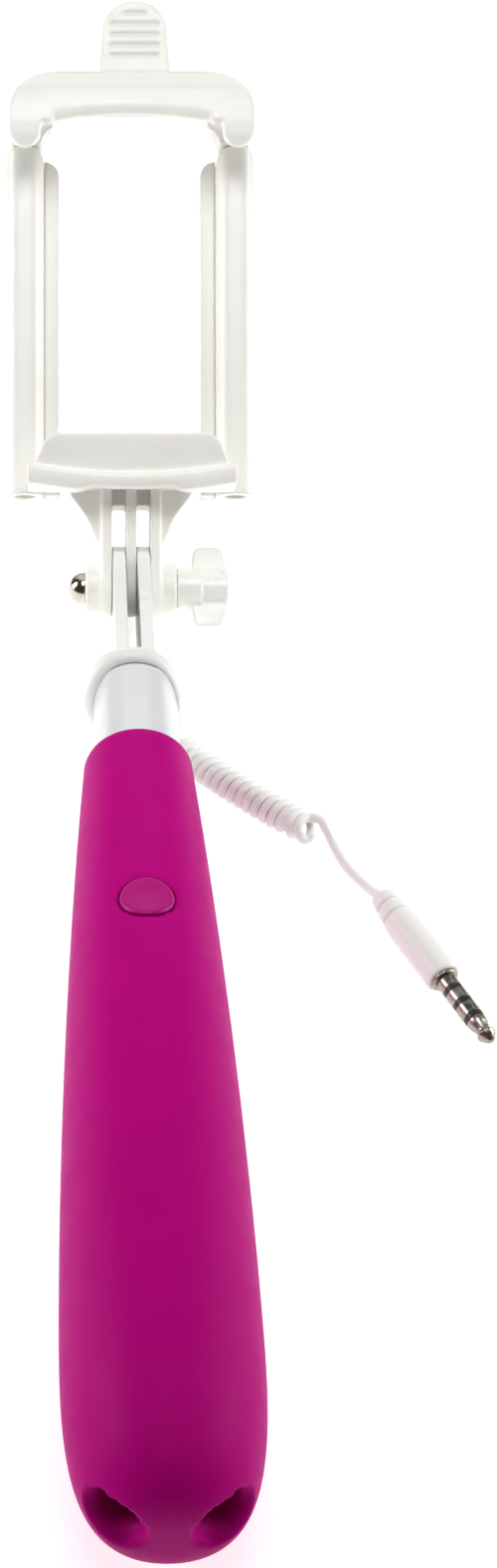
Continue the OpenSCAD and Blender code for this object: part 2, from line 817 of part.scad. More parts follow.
// Side views, as distance up the holder and out of its face: the hooked bar and a leg
module bar_side() {
    polygon([
        [95.3, -5.8], [97, -5.2], [bar_top - 1.6, 0.6], [bar_top, 3.2], [bar_top, 7],
        [bar_top - 1.4, 9.4], [96.4, 11.4], [93.4, 12], [92.5, 11.7], [bar_low, 11],
        [bar_low, 9.8], [92.5, 9.2], [95.3, 9]
    ]);
}

module leg_side() {
    polygon([
        [bracket_low, -5.8], [bracket_low + 0.5, -6.3], [95, -6.3], [97, -5.2],
        [bar_top - 1.6, 0.6], [bar_top, 3.2], [bar_top, 7],
        [bar_top - 1.4, 9.4], [96.4, 11.4], [93.4, 12], [89.6, 12.2], [86.8, 11.9],
        [foot_low + 0.4, 11.1], [foot_low, 10.2], [foot_low, 7], [bracket_low, 3], [bracket_low, -0.2]
    ]);
}

module tab_outline() {
    corner = 6;
    polygon(concat(
        [[tab_half, bar_top - 4]],
        arc(tab_half - corner - 0.9, tab_top - corner, corner, 0, 90, 8),
        arc(corner - tab_half + 0.9, tab_top - corner, corner, 90, 180, 8),
        [[-tab_half, bar_top - 4]]
    ));
}

module upper_bracket() {
    color([0.95, 0.94, 0.91]) on_holder() difference() {
        union() {
            intersection() {
                translate([0, 0, -5]) linear_extrude(20) bracket_front();
                union() {
                    plate_x(-bend_in, bend_in) bar_side();
                    for (m = [0, 1]) mirror([m, 0, 0]) plate_x(bend_in - EPS, bracket_half + 1) leg_side();
                }
            }
            translate([tab_x, 0, tab_back]) linear_extrude(tab_t) tab_outline();
        }
        // slot for the phone's upper edge, through both legs
        translate([-BIG / 2, foot_low - 1, slot_back])
            cube([BIG, slot_top - foot_low + 1, slot_front - slot_back]);
        for (i = [0:4]) translate([tab_x - 5 + (i == 4 ? 2.6 : 0), 104.2 + 2.1 * i, tab_back + tab_t - 0.4])
            cube([i == 4 ? 4.8 : 10, 0.8, 1]);
        for (side = [-1, 1]) translate([side * rail_x, bracket_low - 1, rail_z]) along_y() cylinder(r = rod_r, h = 7);
    }
}

module upper_pad() {
    half = 13;
    color([0.9, 0.9, 0.88]) on_holder() translate([-half, 94.1, 1.2]) cube([2 * half, 1.2, 7.2]);
}

module guide_rod(side) {
    color([0.75, 0.75, 0.77]) on_holder() translate([side * rail_x, 0, rail_z]) {
        translate([0, rod_from, 0]) along_y() cylinder(r = rod_r, h = bracket_low + 6 - rod_from);
        translate([0, rod_from, 0]) along_y() cylinder(r = rail_bore_r - 0.08, h = foot_t);
    }
}

module left_rod() {
    guide_rod(-1);
}

module right_rod() {
    guide_rod(1);
}

grip_skin();
grip_core();
core_end_plug();
shutter_button();
switch_plunger();
tact_switch();
switch_board();
switch_lead();
neck_sleeve();
outer_tube();
stage_tube(1);  // stage_1_tube
stage_bush(1);  // stage_1_bush
stage_tube(2);  // stage_2_tube
stage_bush(2);  // stage_2_bush
stage_tube(3);  // stage_3_tube
stage_bush(3);  // stage_3_bush
stage_tube(4);  // stage_4_tube
stage_bush(4);  // stage_4_bush
pole_lead();
head_cap();
head_pin();
cord_gland();
cord_entry();
curly_cord();
cord_tail();
plug_body();
plug_collar();
plug_sleeve();
plug_rings();
plug_tip();
plug_insulators();
lower_jaw();
lower_pad();
left_rail();
right_rail();
back_cover();
left_bush();
right_bush();
left_spring();
right_spring();
acorn_nut();
wing_knob();
clamp_bolt();
upper_bracket();
upper_pad();
left_rod();
right_rod();
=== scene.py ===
import bmesh
import bpy
import json
import math
import numpy as np
from mathutils import Matrix, Vector


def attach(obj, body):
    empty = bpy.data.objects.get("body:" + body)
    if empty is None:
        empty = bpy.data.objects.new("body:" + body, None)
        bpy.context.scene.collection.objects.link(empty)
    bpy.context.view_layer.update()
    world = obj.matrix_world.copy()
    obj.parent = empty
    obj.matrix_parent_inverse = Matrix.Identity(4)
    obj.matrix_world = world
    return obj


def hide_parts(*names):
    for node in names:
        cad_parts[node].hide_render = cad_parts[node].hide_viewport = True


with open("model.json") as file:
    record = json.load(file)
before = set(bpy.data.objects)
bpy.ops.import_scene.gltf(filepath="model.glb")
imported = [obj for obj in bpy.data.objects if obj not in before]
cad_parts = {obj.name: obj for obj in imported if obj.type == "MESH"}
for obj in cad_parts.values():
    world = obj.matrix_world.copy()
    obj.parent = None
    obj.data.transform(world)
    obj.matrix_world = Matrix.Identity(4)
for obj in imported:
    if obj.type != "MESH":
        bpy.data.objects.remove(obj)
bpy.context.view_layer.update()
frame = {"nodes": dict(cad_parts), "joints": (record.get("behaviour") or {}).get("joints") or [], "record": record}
nodes = frame["nodes"]
joints = {j["name"]: j for j in frame["joints"]}
MM = 0.001

# ---------- frames: the stick's own (Y along the pole, Z up) and the holder's own, in millimetres ----------

GRIP_LEN = 145.0
HINGE_AT = 199.3
X = Vector((1, 0, 0))
ALONG = Vector(joints["stage_1_slide"]["axis"]).normalized()
UP = X.cross(ALONG)
HINGE = Vector(joints["holder_tilt"]["pos_m"])
RISE = Vector(joints["bracket_pull"]["axis"]).normalized()
OUT = X.cross(RISE)


def frame_matrix(origin, x, y, z):
    m = Matrix.Identity(4)
    for i, axis in enumerate((x, y, z)):
        for row in range(3):
            m[row][i] = axis[row] * MM
    m.translation = origin
    return m


STICK = frame_matrix(HINGE - ALONG * HINGE_AT * MM, X, ALONG, UP)
HOLDER = frame_matrix(HINGE, X, RISE, OUT)

# ---------- camera ----------

CAMERA_DOWN = 43

camera_data = bpy.data.cameras.new("camera")
camera = bpy.data.objects.new("camera", camera_data)
bpy.context.scene.collection.objects.link(camera)
bpy.context.scene.camera = camera
camera.location = (-0.01225, -0.1815, 0.243)
camera.rotation_euler = (math.radians(90 - CAMERA_DOWN), 0, 0)
camera_data.sensor_fit = "VERTICAL"
camera_data.sensor_height = 24
camera_data.lens = 29.626
camera_data.shift_x = 0.1145
camera_data.clip_start = 0.01
camera_data.clip_end = 20

# ---------- materials ----------

DRIFT_SCALE, GLOSS_SCALE = 90, 260
LINE_SCALE, STAIN_SCALE = 900, 220
GRAIN_DEPTH, LINE_DEPTH = 0.0001, 0.00005

MATERIALS = {}


def new_material(name, colour, roughness, **sockets):
    mat = bpy.data.materials.new(name)
    mat.use_nodes = True
    tree = mat.node_tree
    shader = tree.nodes["Principled BSDF"]
    shader.inputs["Base Color"].default_value = (*colour, 1)
    shader.inputs["Roughness"].default_value = roughness
    for key, value in sockets.items():
        shader.inputs[key.replace("_", " ")].default_value = value
    return mat, tree, shader


def coords(tree, stretch=(1, 1, 1)):
    where = tree.nodes.new("ShaderNodeTexCoord")
    mapping = tree.nodes.new("ShaderNodeMapping")
    mapping.inputs["Scale"].default_value = stretch
    tree.links.new(where.outputs["Object"], mapping.inputs["Vector"])
    return mapping.outputs["Vector"]


def noise(tree, vector, scale, detail, rough=0.5):
    node = tree.nodes.new("ShaderNodeTexNoise")
    node.inputs["Scale"].default_value = scale
    node.inputs["Detail"].default_value = detail
    node.inputs["Roughness"].default_value = rough
    tree.links.new(vector, node.inputs["Vector"])
    return node.outputs["Fac"]


def ramp(tree, value, low, high, stops):
    node = tree.nodes.new("ShaderNodeValToRGB")
    node.color_ramp.elements[0].position = low
    node.color_ramp.elements[1].position = high
    node.color_ramp.elements[0].color = (*stops[0], 1)
    node.color_ramp.elements[1].color = (*stops[1], 1)
    tree.links.new(value, node.inputs["Fac"])
    return node.outputs["Color"]


def spread(tree, value, low, high):
    node = tree.nodes.new("ShaderNodeMapRange")
    node.inputs["From Min"].default_value = 0.3
    node.inputs["From Max"].default_value = 0.7
    node.inputs["To Min"].default_value = low
    node.inputs["To Max"].default_value = high
    tree.links.new(value, node.inputs["Value"])
    return node.outputs["Result"]


def bump(tree, shader, height, strength, distance):
    node = tree.nodes.new("ShaderNodeBump")
    node.inputs["Strength"].default_value = strength
    node.inputs["Distance"].default_value = distance
    tree.links.new(height, node.inputs["Height"])
    tree.links.new(node.outputs["Normal"], shader.inputs["Normal"])


def moulded_material(name, colour, shade, roughness, grain, strength,
                     stretch=(1, 1, 1), uneven=0.055, **sockets):
    """A moulded surface: slow colour drift, uneven gloss and a fine grain."""
    mat, tree, shader = new_material(name, colour, roughness, **sockets)
    at = coords(tree, stretch)
    drift = noise(tree, at, DRIFT_SCALE, 2.0)
    tree.links.new(ramp(tree, drift, 0.3, 0.7, (shade, colour)), shader.inputs["Base Color"])
    gloss = spread(tree, noise(tree, at, GLOSS_SCALE, 4.0), roughness - uneven, roughness + uneven)
    tree.links.new(gloss, shader.inputs["Roughness"])
    bump(tree, shader, noise(tree, at, grain, 3.0, 0.6), strength, GRAIN_DEPTH)
    MATERIALS[name] = mat


def metal_material(name, colour, shade, roughness, strength, stretch=(1, 1, 1)):
    """A metal with fine drawn or turned lines and a faint stain."""
    mat, tree, shader = new_material(name, colour, roughness, Metallic=1.0)
    lines = noise(tree, coords(tree, stretch), LINE_SCALE, 2.0, 0.6)
    stain = noise(tree, coords(tree), STAIN_SCALE, 4.0)
    tree.links.new(ramp(tree, stain, 0.35, 0.65, (shade, colour)), shader.inputs["Base Color"])
    tree.links.new(spread(tree, lines, roughness * 0.7, roughness * 1.4), shader.inputs["Roughness"])
    bump(tree, shader, lines, strength, LINE_DEPTH)
    MATERIALS[name] = mat


moulded_material("grip_rubber", (0.44, 0.0, 0.185), (0.42, 0.0, 0.175), 0.5, 5200, 0.1,
                 Specular_IOR_Level=0.04, Sheen_Weight=0.09, Sheen_Roughness=0.25,
                 Sheen_Tint=(0.8, 0.08, 0.75, 1))
moulded_material("button_rubber", (0.41, 0.0, 0.172), (0.39, 0.0, 0.162), 0.38, 5200, 0.1,
                 Specular_IOR_Level=0.16)
moulded_material("inner_plastic", (0.7, 0.7, 0.68), (0.66, 0.66, 0.64), 0.5, 3000, 0.1)
moulded_material("neck_white", (0.69, 0.698, 0.705), (0.65, 0.665, 0.68), 0.26, 1500, 0.02,
                 stretch=(1, 0.03, 1), uneven=0.015, Coat_Weight=0.15, Coat_Roughness=0.1)
moulded_material("head_white", (0.8, 0.8, 0.78), (0.775, 0.775, 0.75), 0.32, 2600, 0.08)
moulded_material("holder_white", (0.87, 0.865, 0.82), (0.845, 0.835, 0.785), 0.34, 2600, 0.09,
                 Subsurface_Weight=0.12, Subsurface_Radius=(0.0012, 0.001, 0.0007), Subsurface_Scale=1.0)
moulded_material("knob_white", (0.86, 0.855, 0.815), (0.83, 0.825, 0.78), 0.3, 2600, 0.08)
moulded_material("cord_white", (0.87, 0.872, 0.845), (0.84, 0.84, 0.81), 0.4, 3500, 0.1,
                 Subsurface_Weight=0.1, Subsurface_Radius=(0.001, 0.0007, 0.0006), Subsurface_Scale=1.0)
moulded_material("pad_rubber", (0.78, 0.77, 0.73), (0.74, 0.73, 0.69), 0.6, 4200, 0.2)
metal_material("plug_metal", (0.42, 0.39, 0.34), (0.33, 0.3, 0.26), 0.3, 0.05)
moulded_material("plug_black", (0.012, 0.012, 0.013), (0.02, 0.02, 0.02), 0.4, 4000, 0.1)
metal_material("nut_metal", (0.6, 0.56, 0.5), (0.46, 0.42, 0.37), 0.14, 0.04)
metal_material("bolt_steel", (0.55, 0.55, 0.56), (0.45, 0.45, 0.46), 0.3, 0.1)
metal_material("tube_steel", (0.74, 0.75, 0.77), (0.68, 0.69, 0.71), 0.12, 0.03, stretch=(1, 0.02, 1))
moulded_material("bush_grey", (0.05, 0.05, 0.055), (0.04, 0.04, 0.045), 0.5, 3000, 0.15)
moulded_material("switch_black", (0.02, 0.02, 0.02), (0.03, 0.03, 0.03), 0.45, 3000, 0.1)
metal_material("switch_metal", (0.6, 0.6, 0.62), (0.5, 0.5, 0.52), 0.3, 0.1)
moulded_material("board_green", (0.01, 0.11, 0.03), (0.015, 0.14, 0.04), 0.35, 1200, 0.2)
moulded_material("wire_white", (0.75, 0.75, 0.73), (0.7, 0.7, 0.68), 0.45, 3000, 0.1)

slot_of = {s["node"]: s["material_slot"] for s in frame["record"]["subparts"]}
for name, obj in nodes.items():
    obj.data.materials.clear()
    obj.data.materials.append(MATERIALS[slot_of[name]])

# ---------- mesh helpers ----------

CORNER_SHARE = 0.25


def add(name, mesh, body, slot, *replaced):
    obj = bpy.data.objects.new(name, mesh)
    bpy.context.scene.collection.objects.link(obj)
    mesh.materials.clear()
    mesh.materials.append(MATERIALS[slot])
    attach(obj, body)
    if replaced:
        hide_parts(*replaced)
    return obj


def plain_mesh(bm, name="cutter"):
    mesh = bpy.data.meshes.new(name)
    bm.to_mesh(mesh)
    bm.free()
    return mesh


def mesh_from(name, bm, matrix=None, sharp=40):
    """A clean mesh that is smooth up to an angle, moved from its own frame into the world."""
    bmesh.ops.remove_doubles(bm, verts=bm.verts, dist=1e-5)
    bmesh.ops.recalc_face_normals(bm, faces=bm.faces)
    mesh = plain_mesh(bm, name)
    if matrix is not None:
        mesh.transform(matrix)
    for face in mesh.polygons:
        face.use_smooth = True
    mesh.set_sharp_from_angle(angle=math.radians(sharp))
    return mesh


def points_of(mesh):
    """The mesh's points as the rows of an array."""
    points = np.empty(len(mesh.vertices) * 3)
    mesh.vertices.foreach_get("co", points)
    return points.reshape(-1, 3)


def ease(value, low, high):
    """Rises smoothly from 0 at low to 1 at high."""
    t = np.clip((value - low) / (high - low), 0, 1)
    return t * t * (3 - 2 * t)


def rounded(profile, rounds=2):
    """Cuts the corners of an open profile, keeping its ends."""
    points = [Vector(p) for p in profile]
    for _ in range(rounds):
        corners = [points[0]]
        for a, b in zip(points, points[1:]):
            corners += [a.lerp(b, CORNER_SHARE), a.lerp(b, 1 - CORNER_SHARE)]
        points = corners + [points[-1]]
    return [tuple(p) for p in points]


def fill(bm, rings, turns):
    """Joins each ring of points to the next with faces. A ring may be one point."""
    for a, b in zip(rings, rings[1:]):
        for k in range(turns):
            corners = [a[k % len(a)], a[(k + 1) % len(a)], b[(k + 1) % len(b)], b[k % len(b)]]
            corners = [v for i, v in enumerate(corners) if v not in corners[:i]]
            if len(corners) > 2:
                bm.faces.new(corners)


def lathe(profile, turns):
    """Turns (radius, distance) pairs about the local Y axis."""
    bm = bmesh.new()
    angles = [2 * math.pi * k / turns for k in range(turns)]
    rings = []
    for r, y in profile:
        if r < 1e-6:
            rings.append([bm.verts.new((0, y, 0))])
        else:
            rings.append([bm.verts.new((r * math.cos(a), y, r * math.sin(a))) for a in angles])
    fill(bm, rings, turns)
    return bm


def loose(mesh):
    obj = bpy.data.objects.new("work", mesh)
    bpy.context.scene.collection.objects.link(obj)
    return obj


def evaluated(obj):
    """The mesh that an object's modifiers make. The object itself goes."""
    graph = bpy.context.evaluated_depsgraph_get()
    mesh = bpy.data.meshes.new_from_object(obj.evaluated_get(graph))
    bpy.data.objects.remove(obj)
    return mesh


def cut(mesh, cutters):
    for cutter in cutters:
        obj = loose(mesh)
        tool = loose(cutter)
        boolean = obj.modifiers.new("cut", "BOOLEAN")
        boolean.operation = "DIFFERENCE"
        boolean.solver = "EXACT"
        boolean.object = tool
        mesh = evaluated(obj)
        bpy.data.objects.remove(tool)
    return mesh


def remeshed(mesh, voxel, rounds):
    """One closed skin over a mesh, with its edges softened."""
    obj = loose(mesh)
    skin = obj.modifiers.new("skin", "REMESH")
    skin.mode = "VOXEL"
    skin.voxel_size = voxel
    skin.adaptivity = 0
    soft = obj.modifiers.new("soft", "SMOOTH")
    soft.factor = 0.5
    soft.iterations = rounds
    result = evaluated(obj)
    for face in result.polygons:
        face.use_smooth = True
    return result


def softened(name, source, local, body, slot, voxel, rounds, shape=None, extra=None, trim=None):
    """Gives a CAD solid the soft edges of a moulding. shape moves its points, in the local frame."""
    bm = bmesh.new()
    bm.from_mesh(nodes[source].data)
    bmesh.ops.remove_doubles(bm, verts=bm.verts, dist=1e-7)
    mesh = plain_mesh(bm, name)
    mesh.transform(local.inverted())
    if trim is not None:
        mesh = cut(mesh, [trim])
    if extra is not None:
        both = bmesh.new()
        both.from_mesh(mesh)
        both.from_mesh(extra)
        both.to_mesh(mesh)
        both.free()
    mesh = remeshed(mesh, voxel, rounds)
    if shape is not None:
        mesh.vertices.foreach_set("co", shape(points_of(mesh)).ravel())
    mesh.transform(local)
    return add(name, mesh, body, slot, source)


# ---------- cord: its route in millimetres, and its radii in metres ----------

COIL_R = 0.0022
WIRE_R = 0.0009
TURNS = 17
PER_TURN = 28
START_ANGLE = 135
START_SHARE, START_TURNS = 0.2, 0.8
END_LEAN, END_PUSH = 0.65, 0.0005
END_FROM, END_TO = TURNS - 2.3, TURNS - 0.8
JOINT_REACHES = (2, 3, 4, 5, 6, 5, 4, 3)

ENTRY = [(7.4, 87.2, 3.3), (7.5, 86.7, 3.3)]
CURL = [(8.1, 86.1, 3.2), (8.9, 84.5, 3.1), (10.3, 82.5, 3.1), (12.6, 80.1, 3.1), (15.1, 77.6, 3.1),
        (17.6, 75.1, 3.1), (20.3, 72.6, 3.1), (23.1, 70.0, 3.1), (25.9, 67.6, 3.1), (28.1, 65.8, 3.1),
        (30.0, 64.3, 3.1)]
PLUG_AT = (41.35, 47.3, 3.1)
TAIL = [(31.4, 65.25, 4.7), (31.9, 65.0, 4.75), (32.5, 64.6, 4.6), (33.0, 63.9, 4.0), (33.6, 63.1, 3.1),
        (34.4, 61.8, 1.9), (35.2, 60.0, 1.15), (35.9, 58.2, 0.95), (36.6, 56.5, 0.95), (37.3, 55.1, 1.0),
        (38.0, 53.7, 1.15), (38.8, 52.1, 1.5), (39.5, 50.5, 2.0), (40.1, 49.0, 2.55), (40.8, 48.1, 2.95),
        PLUG_AT]


def smooth_path(points, steps):
    """A smooth line through points, as Vectors in metres."""
    p = [Vector(q) * MM for q in points]
    p = [p[0] * 2 - p[1]] + p + [p[-1] * 2 - p[-2]]
    line = []
    for a, b, c, d in zip(p, p[1:], p[2:], p[3:]):
        for k in range(steps):
            t = k / steps
            square = (2 * a - 5 * b + 4 * c - d) * t * t
            cube = (3 * b - a - 3 * c + d) * t ** 3
            line.append(0.5 * ((2 * b) + (c - a) * t + square + cube))
    return line + [p[-2]]


def evenly(line, count):
    """The same line at even steps."""
    at = [0.0]
    for a, b in zip(line, line[1:]):
        at.append(at[-1] + (b - a).length)
    result = []
    for k in range(count):
        want = at[-1] * k / (count - 1)
        i = min(max(np.searchsorted(at, want, side="right") - 1, 0), len(line) - 2)
        share = (want - at[i]) / max(at[i + 1] - at[i], 1e-9)
        result.append(line[i].lerp(line[i + 1], share))
    return result


def coil(centre):
    """The turns round a centre line. They open out of the entry, and the last ones lean back at the end."""
    line = evenly(centre, TURNS * PER_TURN + 1)
    path = []
    for i, at in enumerate(line):
        ahead = (line[min(i + 1, len(line) - 1)] - line[max(i - 1, 0)]).normalized()
        side = ahead.cross(Vector((0, 0, 1))).normalized()
        up = side.cross(ahead)
        turn = i / PER_TURN
        r = COIL_R * (START_SHARE + (1 - START_SHARE) * float(ease(turn, 0, START_TURNS)))
        angle = 2 * math.pi * turn + math.radians(START_ANGLE)
        lift = r * math.sin(angle)
        lean = float(ease(turn, END_FROM, END_TO))
        tilt = END_LEAN * lean
        push = END_PUSH * lean - lift * math.sin(tilt)
        path.append(at + side * r * math.cos(angle) + up * lift * math.cos(tilt) + ahead * push)
    return path


coil_line = coil(smooth_path(CURL, 8))
entry_line = smooth_path(ENTRY + [tuple(coil_line[0] / MM)], 4)
tail_line = smooth_path([tuple(coil_line[-1] / MM)] + TAIL, 4)
cord_line = entry_line[:-1] + coil_line + tail_line[1:]
# the coil's two ends run into the straight lengths without a kink
for joint in (len(entry_line) - 1, len(entry_line) + len(coil_line) - 2):
    for reach in JOINT_REACHES:
        low, high = max(joint - reach, 1), joint + reach + 1
        around = zip(cord_line[low - 1:], cord_line[low:high], cord_line[low + 1:])
        cord_line[low:high] = [(a + b * 2 + c) / 4 for a, b, c in around]

curve = bpy.data.curves.new("curly_lead", "CURVE")
curve.dimensions = "3D"
curve.bevel_depth = WIRE_R
curve.bevel_resolution = 5
curve.use_fill_caps = True
spline = curve.splines.new("POLY")
spline.points.add(len(cord_line) - 1)
for point, co in zip(spline.points, cord_line):
    point.co = (*co, 1)
spline.use_smooth = True
curly_lead = bpy.data.objects.new("curly_lead", curve)
bpy.context.scene.collection.objects.link(curly_lead)
curve.materials.append(MATERIALS["cord_white"])
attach(curly_lead, "head")
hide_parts("cord_entry", "curly_cord", "cord_tail")

# ---------- plug: (radius, distance from the cord's end) in millimetres ----------

PLUG_TURN = -66.6
PLUG_FACETS = 80
SHAFT_R = 1.75
INSULATOR_R = 1.7
BODY_TO, COLLAR_TO = 20.0, 20.6
# where the sleeve, the insulators, the rings and the tip begin, in turn
SHAFT = [COLLAR_TO, 22.6, 23.5, 25.6, 26.5, 28.8, 29.7]

plug_angle = math.radians(PLUG_TURN)
plug_along = Vector((math.cos(plug_angle), math.sin(plug_angle), 0))
plug_up = Vector((0, 0, 1))
PLUG = frame_matrix(Vector(PLUG_AT) * MM, plug_along.cross(plug_up), plug_along, plug_up)

body_profile = [(0, 0.02), (1.95, 0.02), (2.2, 0.15), (2.28, 0.5), (2.38, 1.9), (2.32, 2.12), (1.85, 2.25),
                (1.85, 2.75), (2.42, 2.9), (2.54, 3.1), (2.66, 4.6), (2.6, 4.82), (2.1, 4.95), (2.1, 5.45),
                (2.78, 5.62), (2.9, 5.9), (2.98, 7.0), (3.04, 8.4), (3.05, 12), (3.05, 19.2), (2.98, 19.75),
                (2.7, BODY_TO), (0, BODY_TO)]
collar_profile = [(0, BODY_TO), (2.3, BODY_TO), (2.38, 20.1), (2.38, 20.42), (2.2, COLLAR_TO), (0, COLLAR_TO)]
tip_profile = [(0, SHAFT[6]), (1.6, SHAFT[6]), (1.68, SHAFT[6] + 0.12), (1.6, SHAFT[6] + 0.9), (1.35, 31.3),
               (1.18, 32.1), (1.3, 32.45), (1.62, 32.7), (1.56, 33.0), (1.38, 33.35), (0.9, 34.0),
               (0.5, 34.4), (0.2, 34.52), (0, 34.54)]


def band(first, r, soft):
    """A short cylinder of the shaft, with soft edges."""
    low, high = SHAFT[first], SHAFT[first + 1]
    edge = [(0, low), (r - soft, low), (r, low + soft), (r, high - soft), (r - soft, high), (0, high)]
    return lathe(edge, PLUG_FACETS)


def joined(parts):
    bm = bmesh.new()
    for part in parts:
        mesh = plain_mesh(part, "part")
        bm.from_mesh(mesh)
        bpy.data.meshes.remove(mesh)
    return bm


def plug_piece(name, bm, slot, replaced):
    return add(name, mesh_from(name, bm, PLUG), "head", slot, replaced)


plug_body = lathe(rounded(body_profile), PLUG_FACETS)
plug_collar = lathe(rounded(collar_profile, 1), PLUG_FACETS)
plug_rings = joined([band(i, SHAFT_R, 0.1) for i in (2, 4)])
plug_bands = joined([band(i, INSULATOR_R, 0.04) for i in (1, 3, 5)])
plug_tip = lathe(rounded(tip_profile), PLUG_FACETS)
plug_pieces = [
    plug_piece("plug_moulding", plug_body, "cord_white", "plug_body"),
    plug_piece("plug_knurl_collar", plug_collar, "plug_metal", "plug_collar"),
    plug_piece("plug_ground_sleeve", band(0, SHAFT_R, 0.08), "plug_metal", "plug_sleeve"),
    plug_piece("plug_contact_rings", plug_rings, "plug_metal", "plug_rings"),
    plug_piece("plug_dark_bands", plug_bands, "plug_black", "plug_insulators"),
    plug_piece("plug_waisted_tip", plug_tip, "plug_metal", "plug_tip"),
]

# ---------- grip ----------

MAX_R, RIM_R, BELLY = 13.65, 9.55, 36.0
BUTT_POWER, TAPER_POWER = 3.65, 1.78
RIM_ROUND, RIM_INSET = 1.4, 1.35
SKIN_T = 1.8
CAVITY_FROM, CORE_END = 12.0, 132.0
BUTT_INSET = 0.06
BUTTON_AT, BUTTON_R, BUTTON_GAP = 100.0, 4.3, 0.15
BUTTON_LIP_R = 5.2
POCKET_FLOOR, POCKET_STEP = 5, 10.6
STRAP_RING_R, STRAP_R = 6.6, 3.4
STRAP_MIDDLE = (0, 0.8, 2.4)
MOUTH_X, MOUTH_AT, MOUTH_UP = 7.5, 1.2, 2.3
MOUTH_HALF, MOUTH_R = 1.8, 3.3
MOUTH_SLANT, MOUTH_TURN = 20, 30
NECK_R = 7.8


def grip_r(s):
    """The grip's radius at a distance from its butt."""
    if s < BELLY:
        return MAX_R * max(1 - ((BELLY - s) / BELLY) ** BUTT_POWER, 0) ** (1 / BUTT_POWER)
    return MAX_R - (MAX_R - RIM_R) * ((s - BELLY) / (GRIP_LEN - BELLY)) ** TAPER_POWER


def grip_shell():
    """The skin's outline: the outside from the butt to the rim, and back along the cavity."""
    butt = [BELLY * (i / 70) ** 2 for i in range(71)]
    taper = [BELLY + (GRIP_LEN - RIM_ROUND - BELLY) * i / 90 for i in range(1, 91)]
    side = [(grip_r(s), s + BUTT_INSET * max(1 - s / 2, 0)) for s in butt + taper]
    rim = [(RIM_R - RIM_INSET + RIM_ROUND * math.cos(math.radians(a)),
            GRIP_LEN - RIM_ROUND + RIM_ROUND * math.sin(math.radians(a))) for a in range(15, 91, 15)]
    inner = [(grip_r(s) - SKIN_T, s) for _, s in side if CAVITY_FROM < s < CORE_END]
    mouth = [(NECK_R, GRIP_LEN), (NECK_R, CORE_END), (grip_r(CORE_END) - SKIN_T, CORE_END)]
    end = [(grip_r(CAVITY_FROM) - SKIN_T, CAVITY_FROM), (0, CAVITY_FROM)]
    return side + rim + mouth + inner[::-1] + end


def cylinder(r, low, high, centre):
    """A closed cylinder along local Z."""
    bm = bmesh.new()
    middle = Matrix.Translation((centre[0], centre[1], (low + high) / 2))
    bmesh.ops.create_cone(bm, cap_ends=True, segments=96, radius1=r, radius2=r, depth=high - low,
                          matrix=middle)
    return plain_mesh(bm)


def torus(major, minor, centre):
    """A closed ring round local Z."""
    bm = bmesh.new()
    long_way, short_way = 72, 32
    rings = []
    for i in range(long_way):
        a = 2 * math.pi * i / long_way
        loop = []
        for k in range(short_way):
            b = 2 * math.pi * k / short_way
            r = major + minor * math.cos(b)
            x, y = centre[0] + r * math.cos(a), centre[1] + r * math.sin(a)
            loop.append(bm.verts.new((x, y, centre[2] + minor * math.sin(b))))
        rings.append(loop)
    fill(bm, rings + rings[:1], short_way)
    bmesh.ops.recalc_face_normals(bm, faces=bm.faces)
    return plain_mesh(bm)


def capsule(centre, half, r, slant, turned):
    """A ball drawn out along local X, then slanted and turned."""
    bm = bmesh.new()
    upright = Matrix.Rotation(math.pi / 2, 4, "Y")
    bmesh.ops.create_uvsphere(bm, u_segments=48, v_segments=32, radius=r, matrix=upright)
    for v in bm.verts:
        v.co.x += half if v.co.x > 0 else -half
    mesh = plain_mesh(bm)
    both_turns = Matrix.Rotation(turned, 4, "Z") @ Matrix.Rotation(slant, 4, "Y")
    mesh.transform(Matrix.Translation(centre) @ both_turns)
    return mesh


def block(low, high):
    bm = bmesh.new()
    middle = (Vector(low) + Vector(high)) / 2
    size = Vector(high) - Vector(low)
    bmesh.ops.create_cube(bm, size=1.0, matrix=Matrix.Translation(middle) @ Matrix.Diagonal((*size, 1)))
    return plain_mesh(bm)


